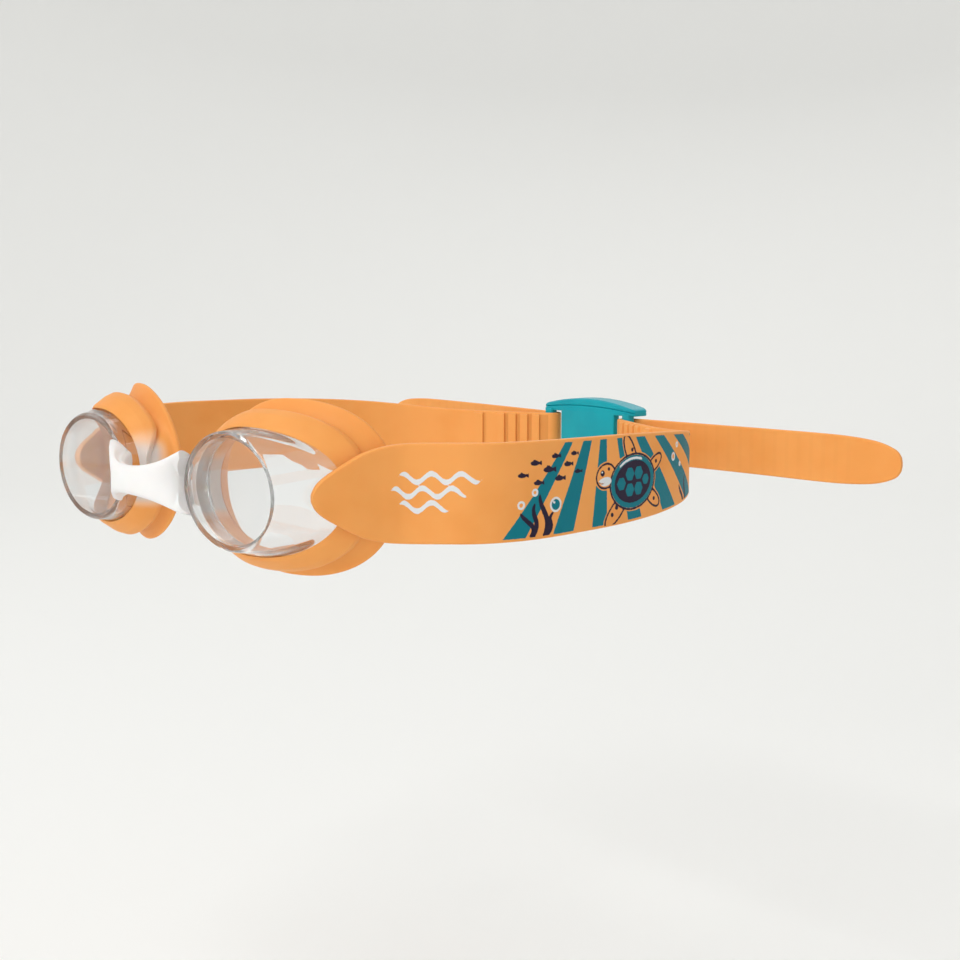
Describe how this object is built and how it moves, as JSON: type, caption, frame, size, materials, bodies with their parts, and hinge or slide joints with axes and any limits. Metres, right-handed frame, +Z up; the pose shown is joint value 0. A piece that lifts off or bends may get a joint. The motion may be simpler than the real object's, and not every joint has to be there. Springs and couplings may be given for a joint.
{
  "type": "swim goggles",
  "caption": "Child's swim goggles with clear oval lenses, soft orange frames and eye seals, a white bridge, a broad printed side strap and a ladder clip at the back.",
  "frame": {"origin": "midway between the two eye seals, on the plane where they meet the face", "axes": "+Z up, the wearer looks towards -Y, +X is the wearer's left; the strap loop runs back along +Y"},
  "size_m": [0.2068, 0.1645, 0.0406],
  "materials": {
    "lens": "clear polished polycarbonate",
    "frame": "satin orange thermoplastic rubber",
    "seal": "satin orange soft rubber",
    "bridge": "white satin soft rubber",
    "strap": "matte orange silicone, printed outside",
    "clip": "teal moulded plastic"
  },
  "bodies": {
    "harness": {"bridge": "bridge", "strap_left": "strap", "strap_right": "strap"},
    "left_eyepiece": {"lens_left": "lens", "frame_left": "frame", "eye_seal_left": "seal"},
    "right_eyepiece": {"lens_right": "lens", "frame_right": "frame", "eye_seal_right": "seal"},
    "clip": {"back_clip": "clip"}
  },
  "joints": [
    {"name": "left_fold", "type": "hinge", "parent": "harness", "child": "left_eyepiece", "pos_m": [0.012, -0.013, 0], "axis": [0, 0, 1], "range_deg": [-8, 20], "stiffness_Nm_per_rad": 0.02, "deforming": ["bridge", "strap_left"]},
    {"name": "right_fold", "type": "hinge", "parent": "harness", "child": "right_eyepiece", "pos_m": [-0.012, -0.013, 0], "axis": [0, 0, -1], "range_deg": [-8, 20], "stiffness_Nm_per_rad": 0.02, "deforming": ["bridge", "strap_right"]},
    {"name": "strap_stretch", "type": "slide", "parent": "harness", "child": "clip", "axis": [0, 1, 0], "range_m": [-0.012, 0.025], "stiffness_N_per_m": 150, "deforming": ["strap_left", "strap_right"]}
  ]
}
